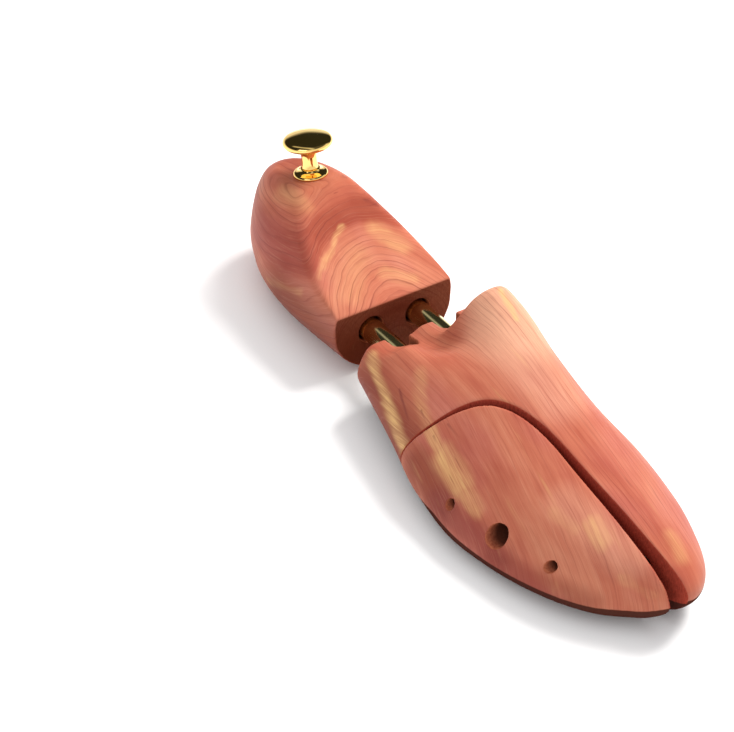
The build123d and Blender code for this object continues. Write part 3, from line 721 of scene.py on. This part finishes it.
    # light streaks in sap colour; on the main block one of them is a painted highlight along the crest
    sap_and_highlight = m.math("MULTIPLY", streaks(light, 6.5), comb)
    loose = m.range(laid(0.16, 0.014, seed * 3.0 + 8, 3.0, 0.55, cross=0.03), 0.64, 0.80, 0.0, 0.26, True)
    sap_and_highlight = m.math("MAXIMUM", sap_and_highlight, loose)
    col = m.mix(sap_and_highlight, col, m.mix(m.math("MULTIPLY", lines, 0.6), SAP_AND_HIGHLIGHT, SAP_LINE))
    if dark:
        col = m.mix(m.math("MULTIPLY", streaks(dark, 2.2), m.range(hair, 0.3, 0.6, 1.0, 0.55)), col, KNOT)
    fleck = laid(0.9, 0.035, seed * 6.0 + 5, 1.0, 0.5, cross=0.12)
    col = m.mix(m.range(fleck, 0.74, 0.84, 0.0, 0.5), col, KNOT)
    # walls that the saw, the drill and the front cut left; the front cut is darkened as end grain and as painted shade,
    # and the bores darken with depth as painted shade
    depth, spl, hol, rear = m.attr("depth"), m.attr("spl"), m.attr("hol"), m.attr("rear")
    wall = m.range(depth, 0.16, 0.42)
    near_hole = m.range(hol, 0.5, 0.9, 1.0, 0.0)
    near_split = m.range(spl, 0.5, 0.9, 1.0, 0.0)
    bore = m.math("MULTIPLY", wall, near_hole)
    sawn = m.math("MULTIPLY", m.math("MULTIPLY", wall, near_split), m.math("SUBTRACT", 1.0, near_hole, clamp=True))
    end = m.math("MULTIPLY", m.range(rear, 0.25, 0.7), m.math("SUBTRACT", 1.0, m.math("ADD", bore, sawn), clamp=True))
    saw_n = m.noise(m.mapping(p, scale=(1, 1, 0.35)), 1.5, 4.0, 0.7)
    saw_col = m.ramp(saw_n, [(0.3, (0.20, 0.028, 0.017)), (0.55, (0.32, 0.046, 0.028)), (0.75, (0.40, 0.068, 0.040))])
    # end grain colour, darkened further as painted shade of the face that the toe block shades
    end_grain_and_shade_col = m.mix(m.range(saw_n, 0.3, 0.7, 0.72, 0.96), col, (0.090, 0.017, 0.006))
    col = m.mix(m.math("MULTIPLY", end, END_GRAIN_AND_SHADE_AMOUNT[name]), col, end_grain_and_shade_col)
    col = m.mix(m.math("MULTIPLY", sawn, 0.96), col, saw_col)
    bore_n = m.noise(p, 0.7, 4.0, 0.65)
    bore_col = m.ramp(bore_n, [(0.3, (0.26, 0.062, 0.032)), (0.7, (0.50, 0.155, 0.078))])
    # painted shade: the bore wall colour darkens with depth into the hole
    bore_col = m.mix(m.range(depth, 1.2, 5.5, 0.0, 0.93), bore_col, (0.030, 0.008, 0.005))
    col = m.mix(m.math("MULTIPLY", bore, 0.92), col, bore_col)
    # painted shade: the sole edge below the lateral crease is darkened and given less specular, standing in for the
    # shade near the floor
    sole_shade_mask = m.math("MULTIPLY", m.range(m.math("ADD", m.attr("sole_shade"), m.math("MULTIPLY", m.math("SUBTRACT", band, 0.5), 0.5)), 0.05, 0.55), 0.94)
    col = m.mix(sole_shade_mask, col, SOLE_SHADE)
    m.put(m.bsdf.inputs["Base Color"], col)
    rough = m.range(hair, 0.2, 0.8, 0.40, 0.54)
    rough = m.math("ADD", rough, m.math("MULTIPLY", m.math("ADD", sawn, bore), 0.35), clamp=True)
    m.put(m.bsdf.inputs["Roughness"], rough)
    m.put(m.bsdf.inputs["Specular IOR Level"], m.math("SUBTRACT", 0.13, m.math("ADD", m.math("MULTIPLY", m.math("ADD", m.math("MULTIPLY", end, END_GRAIN_AND_SHADE_AMOUNT[name]), m.math("ADD", sawn, bore)), 0.20), m.math("MULTIPLY", sole_shade_mask, 0.20)), clamp=True))
    h = m.math("ADD", m.math("MULTIPLY", hair2, 0.5), m.math("MULTIPLY", lines, -0.5))
    h = m.math("ADD", h, m.math("MULTIPLY", m.math("MULTIPLY", saw_n, m.math("ADD", sawn, m.math("MULTIPLY", bore, 0.6))), 4.0))
    m.put(m.bsdf.inputs["Normal"], m.bump(h, 0.35, 0.00012))
    return m.mat


WOOD = [(0.330, 0.068, 0.039), (0.408, 0.103, 0.060), (0.470, 0.138, 0.079), (0.535, 0.188, 0.109), (0.610, 0.268, 0.160)]
WOOD_DARK = (0.285, 0.064, 0.040)
WOOD_PALE = (0.64, 0.295, 0.185)
LINE = (0.195, 0.038, 0.028)
SAP_AND_HIGHLIGHT = (0.74, 0.465, 0.190)
SAP_LINE = (0.50, 0.225, 0.10)
KNOT = (0.155, 0.030, 0.026)
# colour of the painted shade on the sole edge
SOLE_SHADE = (0.050, 0.017, 0.013)
# colours of the painted highlight zones and of the painted shade zones
PALE_HIGHLIGHT = (0.80, 0.44, 0.285)
DEEP_SHADE = (0.135, 0.015, 0.006)
PLUM_SHADE = (0.20, 0.036, 0.034)
# strength of the end grain darkening, which on the heel is also painted shade
END_GRAIN_AND_SHADE_AMOUNT = {"cedar_main": 0.10, "cedar_side": 0.0, "cedar_heel": 0.9}


def brass(name, col, tint, rough, scratch=0.06, brushed=None):
    m = Nodes(name)
    co, _ = m.coords()
    n1 = m.noise(co, 900.0, 3.0, 0.6)
    n2 = m.noise(co, 60.0, 2.0, 0.5)
    m.put(m.bsdf.inputs["Base Color"], m.mix(m.range(n2, 0.35, 0.7, 0.0, 0.6), col, tint))
    m.bsdf.inputs["Metallic"].default_value = 1.0
    src = n1 if brushed is None else m.noise(m.mapping(co, scale=brushed), 1200.0, 3.0, 0.6)
    m.put(m.bsdf.inputs["Roughness"], m.range(src, 0.3, 0.7, rough, rough + scratch))
    m.put(m.bsdf.inputs["Normal"], m.bump(src, 0.06, 0.00002))
    return m.mat


def steel(name, col, dark, rough):
    m = Nodes(name)
    co, _ = m.coords()
    n = m.noise(m.mapping(co, scale=(1, 0.2, 1)), 700.0, 3.0, 0.6)
    n2 = m.noise(co, 90.0, 3.0, 0.6)
    m.put(m.bsdf.inputs["Base Color"], m.mix(m.range(n2, 0.4, 0.75, 0.0, 0.8), col, dark))
    m.bsdf.inputs["Metallic"].default_value = 1.0
    m.put(m.bsdf.inputs["Roughness"], m.range(n, 0.3, 0.7, rough, rough + 0.15))
    return m.mat


light_main_and_crest_highlight = [((-29.5, -26.1, 8.2), (-36.8, -47.6, 0.3), 3.2, 0.85), ((-36.8, -47.6, 0.3), (-43.2, -70.5, -7.0), 3.6, 0.95),
              # the thin full-strength streak along the crest, from (19.3, -52.0, 40.6) to (15.9, -69.1, 36.3), is a
              # painted highlight
              ((-25.0, -54.8, 15.0), (-35.5, -77.5, 5.0), 3.4, 0.34), ((19.3, -52.0, 40.6), (15.9, -69.1, 36.3), 1.5, 1.0),
              ((12.1, -191.1, -7.1), (14.0, -183.0, -4.0), 4.0, 0.35)]
dark_main = [((-32.5, -52.0, 7.5), (-37.2, -67.0, 1.5), 0.8, 0.8), ((-33.0, -70.0, 7.5), (-35.6, -78.5, 4.6), 0.6, 0.7)]
light_side = [((-34.7, -77.5, 5.9), (-38.6, -92.0, 1.6), 3.4, 0.8), ((-39.0, -94.0, 1.2), (-41.0, -109.0, -2.4), 6.2, 1.0),
              ((-41.0, -108.0, -2.4), (-41.6, -122.0, -6.2), 4.2, 0.85), ((-41.6, -118.0, -5.0), (-42.5, -133.0, -9.5), 2.6, 0.8), ((-12.4, -163.6, 1.2), (-12.8, -171.8, -2.3), 4.0, 0.6),
              ((-14.3, -187.3, -11.7), (-7.1, -196.9, -16.1), 3.2, 0.6), ((-22.0, -150.0, 2.0), (-20.0, -160.0, 0.0), 3.2, 0.3)]
dark_side = [((-46.3, -114.0, -10.4), (-44.6, -130.0, -12.6), 1.3, 0.7), ((-30.4, -86.0, 9.8), (-30.6, -99.0, 8.2), 0.7, 0.6),
             ((-36.6, -84.0, 4.4), (-38.8, -91.5, 2.0), 0.7, 0.8), ((-44.5, -98.0, -7.0), (-46.3, -108.0, -8.6), 0.7, 0.5)]
light_heel = [((11.3, 33.0, 26.7), (18.2, 21.9, 20.6), 4.2, 0.46), ((-3.0, 38.4, 30.0), (-9.6, 34.0, 27.3), 1.5, 0.50),
              ((-9.6, 34.0, 27.3), (-19.1, 27.6, 23.6), 1.8, 0.53), ((-19.1, 27.6, 23.6), (-26.3, 21.2, 20.3), 1.6, 0.43),
              ((2.4, 12.7, 16.5), (13.6, 6.0, 13.9), 3.8, 0.34), ((-16.2, 69.4, 36.8), (-15.0, 52.0, 37.2), 4.5, 0.25),
              ((-32.6, 56.8, 1.1), (-31.8, 28.2, 11.6), 2.0, 0.28), ((-4.0, 24.0, 22.0), (-18.0, 10.0, 15.0), 6.2, 0.22)]
dark_heel = [((14.0, 46.0, 34.0), (18.0, 42.0, 31.5), 1.2, 0.5)]
heel_rings = [(24, 0.50), (31, 0.55), (38, 0.62), (44, 0.60), (47, 0.40), (52, 0.38), (56, 0.50), (62, 0.60), (72, 0.45), (86, 0.5)]
# zones of painted highlight and painted shade, (a, b, radius, amount, colour)
painted_light_and_shade_main = [((17, -48, 43), (16, -74, 36), 17, 0.80, PALE_HIGHLIGHT), ((6, -62, 30), (12, -108, 24), 13, 0.42, PALE_HIGHLIGHT),
              ((-40, -30, -3), (-44, -82, -7), 13, 0.80, DEEP_SHADE), ((-2, -24, 8), (-6, -44, 14), 10, 0.20, DEEP_SHADE)]
painted_light_and_shade_side = [((-46, -84, -8), (-48, -104, -12), 9, 0.70, DEEP_SHADE), ((-48, -104, -14), (-45, -142, -17), 7, 0.70, PLUM_SHADE),
              ((-45, -138, -22), (-26, -182, -23), 6, 0.50, DEEP_SHADE), ((-16, -150, 4), (-8, -182, -5), 9, 0.30, PALE_HIGHLIGHT)]
painted_shade_heel = [((-34, -4, -6), (-35, 42, -1), 15, 0.80, DEEP_SHADE), ((-22, -2, -14), (-34, 60, -16), 12, 0.6, DEEP_SHADE),
              ((-8, 60, 40), (2, 92, 36), 10, 0.36, DEEP_SHADE), ((-12, 40, 33), (14, 42, 34), 6, 0.22, DEEP_SHADE)]
cedar_main = cedar("cedar_main", (-250.0, -110.0, -20.0), (0.05, 1.0, 0.0), 1.0, 2.0, light_main_and_crest_highlight, dark_main, None, 0.28, 0.95, painted_light_and_shade_main)
cedar_side = cedar("cedar_side", (-262.0, -110.0, -30.0), (0.20, 1.0, 0.0), 2.3, 2.1, light_side, dark_side, None, 0.34, 0.75, painted_light_and_shade_side)
cedar_heel = cedar("cedar_heel", (2.7, 30.0, -15.5), (0.114, 1.0, -0.051), 5.1, 1.75, light_heel, dark_heel, heel_rings, 0.55, 1.3, painted_shade_heel)
brass_knob = brass("brass_knob", (0.93, 0.655, 0.225), (0.86, 0.55, 0.155), 0.03, 0.03)
brass_tube = brass("brass_tube", (0.80, 0.69, 0.36), (0.64, 0.54, 0.25), 0.11, 0.08, brushed=(1, 0.1, 1))
steel_plain = steel("drawn_steel", (0.60, 0.60, 0.61), (0.42, 0.41, 0.40), 0.28)
steel_spring = steel("spring_wire", (0.42, 0.42, 0.44), (0.25, 0.24, 0.24), 0.32)


def dress(ob, mat):
    ob.data.materials.clear()
    ob.data.materials.append(mat)


for ob, mat in ((main_wood, cedar_main), (side_wood, cedar_side), (heel_wood, cedar_heel), (knob, brass_knob), (knob_base, brass_knob)):
    dress(ob, mat)
for t in tubes.values():
    dress(t, brass_tube)

for name, ob in N.items():
    mat = None
    if "spring" in name:
        mat = steel_spring
    elif name.startswith("tube_bush"):
        mat = brass_tube
    elif any(name.startswith(k) for k in ("tube_plug", "inner_rod", "rod_stop", "tube_pins", "rod_pins", "hinge", "toe_pivot", "toe_stop", "knob_stud")):
        mat = steel_plain
    if mat is not None:
        for s in ob.material_slots:
            s.material = mat

# ------------------------------------------------------------------ riding and replacing
for ob, node, body, slot in (
        (main_wood, "main_toe_block", "toe_section", "cedar_toe"), (side_wood, "side_toe_block", "side_section", "cedar_toe"),
        (heel_wood, "heel_block", "heel_section", "cedar_heel"), (knob, "knob", "heel_section", "brass_knob"),
        (knob_base, "knob_base", "heel_section", "brass_knob"), (tubes["left"], "outer_tube_left", "toe_section", "brass_tube"),
        (tubes["right"], "outer_tube_right", "toe_section", "brass_tube")):
    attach(ob, body)
    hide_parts(node)

# the springs shorten between their seats; here they ride as rigid copies of the CAD coils on the toe section, in place
# of the CAD nodes
for name, joint, axis, anchor, keep in (
        ("tube_spring_left", "heel_slide", (0, 0.996195, -0.087156), (-0.008339, -0.014862, 0.026338), 0.785),
        ("tube_spring_right", "heel_slide", (0, 0.996195, -0.087156), (0.016861, -0.014862, 0.026338), 0.785),
        ("toe_spring", "toe_spread", (3.79, 0.956, -0.084), (0.018261, -0.128853, 0.019948), 0.833)):
    src = N[name]
    ob = bpy.data.objects.new("coil_" + name, src.data.copy())
    bpy.context.scene.collection.objects.link(ob)
    bpy.context.view_layer.update()
    ob.matrix_world = src.matrix_world.copy()
    dress(ob, steel_spring)
    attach(ob, "toe_section")
    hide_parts(name)
    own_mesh(ob)

# ------------------------------------------------------------------ floor, light, camera


def plane(name, size, z, mat):
    me = bpy.data.meshes.new(name)
    s = size / 2
    me.from_pydata([(-s, -s, z), (s, -s, z), (s, s, z), (-s, s, z)], [], [(0, 1, 2, 3)])
    ob = bpy.data.objects.new(name, me)
    bpy.context.scene.collection.objects.link(ob)
    ob.data.materials.append(mat)
    return ob


fm = Nodes("floor_white")
fm.bsdf.inputs["Base Color"].default_value = (0.92, 0.915, 0.92, 1)
fm.bsdf.inputs["Roughness"].default_value = 0.9
fm.bsdf.inputs["Specular IOR Level"].default_value = 0.1
floor = plane("studio_floor", 12.0, -0.0002, fm.mat)


def area(name, loc, target, size, power, color=(1, 1, 1)):
    li = bpy.data.lights.new(name, "AREA")
    li.shape = "RECTANGLE"; li.size, li.size_y = size
    li.energy = power; li.color = color
    ob = bpy.data.objects.new(name, li)
    ob.location = loc
    d = Vector(target) - Vector(loc)
    ob.rotation_euler = d.to_track_quat("-Z", "Y").to_euler()
    bpy.context.scene.collection.objects.link(ob)
    return ob


key = area("key", (1.0, 0.22, 1.15), (0.0, 0.0, 0.03), (0.65, 0.65), 31.0, (1.0, 0.985, 0.96))
key.visible_glossy = False
fill = area("left_fill", (-1.1, -0.5, 0.8), (0.0, 0.0, 0.03), (0.9, 0.6), 3.0, (1.0, 0.985, 0.98))

world = bpy.data.worlds.new("studio")
bpy.context.scene.world = world
world.use_nodes = True
wt = world.node_tree
wt.nodes.clear()


def wnode(kind, **props):
    n = wt.nodes.new(kind)
    for k, v in props.items():
        setattr(n, k, v)
    return n


def wmath(op, a, b=None):
    n = wnode("ShaderNodeMath", operation=op, use_clamp=True)
    for i, v in enumerate((a, b)):
        if v is None:
            continue
        if isinstance(v, bpy.types.NodeSocket):
            wt.links.new(v, n.inputs[i])
        else:
            n.inputs[i].default_value = v
    return n.outputs[0]


def wmath_raw(op, a, b):
    n = wnode("ShaderNodeMath", operation=op)
    wt.links.new(a, n.inputs[0])
    n.inputs[1].default_value = b
    return n.outputs[0]


def wramp(v, lo, hi):
    n = wnode("ShaderNodeMapRange", interpolation_type="SMOOTHSTEP")
    wt.links.new(v, n.inputs[0])
    n.inputs[1].default_value, n.inputs[2].default_value = lo, hi
    return n.outputs[0]


wo = wnode("ShaderNodeOutputWorld")
bg = wnode("ShaderNodeBackground")
bg.inputs["Color"].default_value = (1, 1, 1, 1)
bg.inputs["Strength"].default_value = 1.0
# what polished metal sees: a dark studio behind and above the white sweep, soft boxes low and at the sides
bg2 = wnode("ShaderNodeBackground")
tc = wnode("ShaderNodeTexCoord")
sx = wnode("ShaderNodeSeparateXYZ")
wt.links.new(tc.outputs["Generated"], sx.inputs[0])
sky = wnode("ShaderNodeMapRange", interpolation_type="SMOOTHSTEP")
wt.links.new(sx.outputs[2], sky.inputs[0])
for i, v in enumerate((0.05, 0.95, 0.30, 1.10)):
    sky.inputs[i + 1].default_value = v
wt.links.new(sky.outputs[0], bg.inputs["Strength"])
above = wramp(sx.outputs[2], 0.06, 0.22)
behind = wramp(sx.outputs[1], -0.35, 0.05)
high = wramp(sx.outputs[2], 0.45, 0.70)
dark = wmath("MAXIMUM", wmath("MULTIPLY", above, behind), wmath("MULTIPLY", high, 0.93))
strip = wmath("MULTIPLY", wmath("SUBTRACT", 1.0, wmath("MULTIPLY", wmath("ABSOLUTE", wmath_raw("ADD", sx.outputs[0], 0.13)), 4.5)), wramp(sx.outputs[2], 0.60, 0.70))
dark = wmath("SUBTRACT", dark, wmath("MULTIPLY", strip, 0.75))
dm = wnode("ShaderNodeMix", data_type="RGBA")
wt.links.new(dark, dm.inputs[0])
dm.inputs[6].default_value = (1.0, 0.99, 0.97, 1)
dm.inputs[7].default_value = (0.030, 0.030, 0.022, 1)
wt.links.new(dm.outputs[2], bg2.inputs["Color"])
bg2.inputs["Strength"].default_value = 1.0
lp = wnode("ShaderNodeLightPath")
mx = wnode("ShaderNodeMixShader")
wt.links.new(lp.outputs["Is Glossy Ray"], mx.inputs[0])
wt.links.new(bg.outputs[0], mx.inputs[1])
wt.links.new(bg2.outputs[0], mx.inputs[2])
wt.links.new(mx.outputs[0], wo.inputs[0])

# camera: placed from the photograph's view of the tree, in the tube frame
AZ, EL, DIST, SCALE_PX, UV = math.radians(-33.1), math.radians(36.9), 1200.0, 2.22, (395.0, 319.2)
W, H = 734, 732
back = np.array([math.sin(AZ) * math.cos(EL), -math.cos(AZ) * math.cos(EL), math.sin(EL)])
right = np.cross([0, 0, 1.0], back); right /= np.linalg.norm(right)
up = np.cross(back, right)
f_px = SCALE_PX * DIST
local = np.array([(UV[0] - W / 2) / f_px * DIST, -(UV[1] - H / 2) / f_px * DIST, -DIST])
C = -(right * local[0] + up * local[1] + back * local[2])
cam_data = bpy.data.cameras.new("camera")
cam_data.sensor_fit = "HORIZONTAL"
cam_data.sensor_width = 36.0
cam_data.lens = f_px / W * 36.0
cam_data.clip_start, cam_data.clip_end = 0.01, 50.0
cam = bpy.data.objects.new("camera", cam_data)
r3, u3, b3 = dir_row(right), dir_row(up), dir_row(back)
c3 = to_row(C)
cam.matrix_world = Matrix(((r3[0], u3[0], b3[0], c3[0]), (r3[1], u3[1], b3[1], c3[1]), (r3[2], u3[2], b3[2], c3[2]), (0, 0, 0, 1)))
bpy.context.scene.collection.objects.link(cam)
bpy.context.scene.camera = cam
bpy.context.scene.view_settings.view_transform = "Standard"
bpy.context.scene.view_settings.look = "None"
